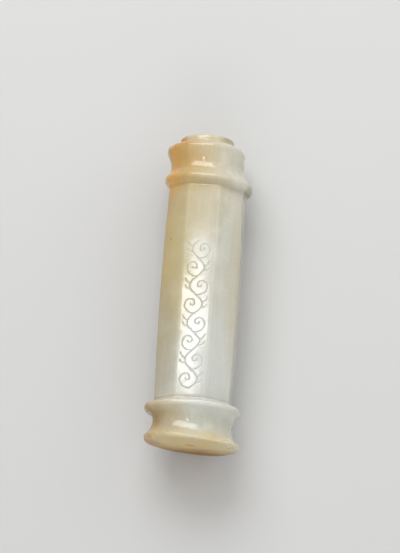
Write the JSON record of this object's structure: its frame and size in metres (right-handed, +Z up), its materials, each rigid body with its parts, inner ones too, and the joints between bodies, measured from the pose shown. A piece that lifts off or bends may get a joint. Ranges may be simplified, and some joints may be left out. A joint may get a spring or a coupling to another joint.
{
  "type": "tube bead",
  "caption": "Faceted stone tube bead with a moulded collar at each end and a narrow bore along its length for a cord.",
  "frame": {"origin": "under the middle of the bead, on the plane of its lowest point as it lies", "axes": "+Y along the bore from the foot to the lip, +Z up out of the front facet, +X to the right of that facet"},
  "size_m": [0.0184, 0.0606, 0.0182],
  "materials": {
    "pale_jade": "waxy hand polish, pale grey-green with a honey-coloured skin on one side"
  },
  "bodies": {
    "root": {"bead_stone": "pale_jade"}
  },
  "joints": []
}
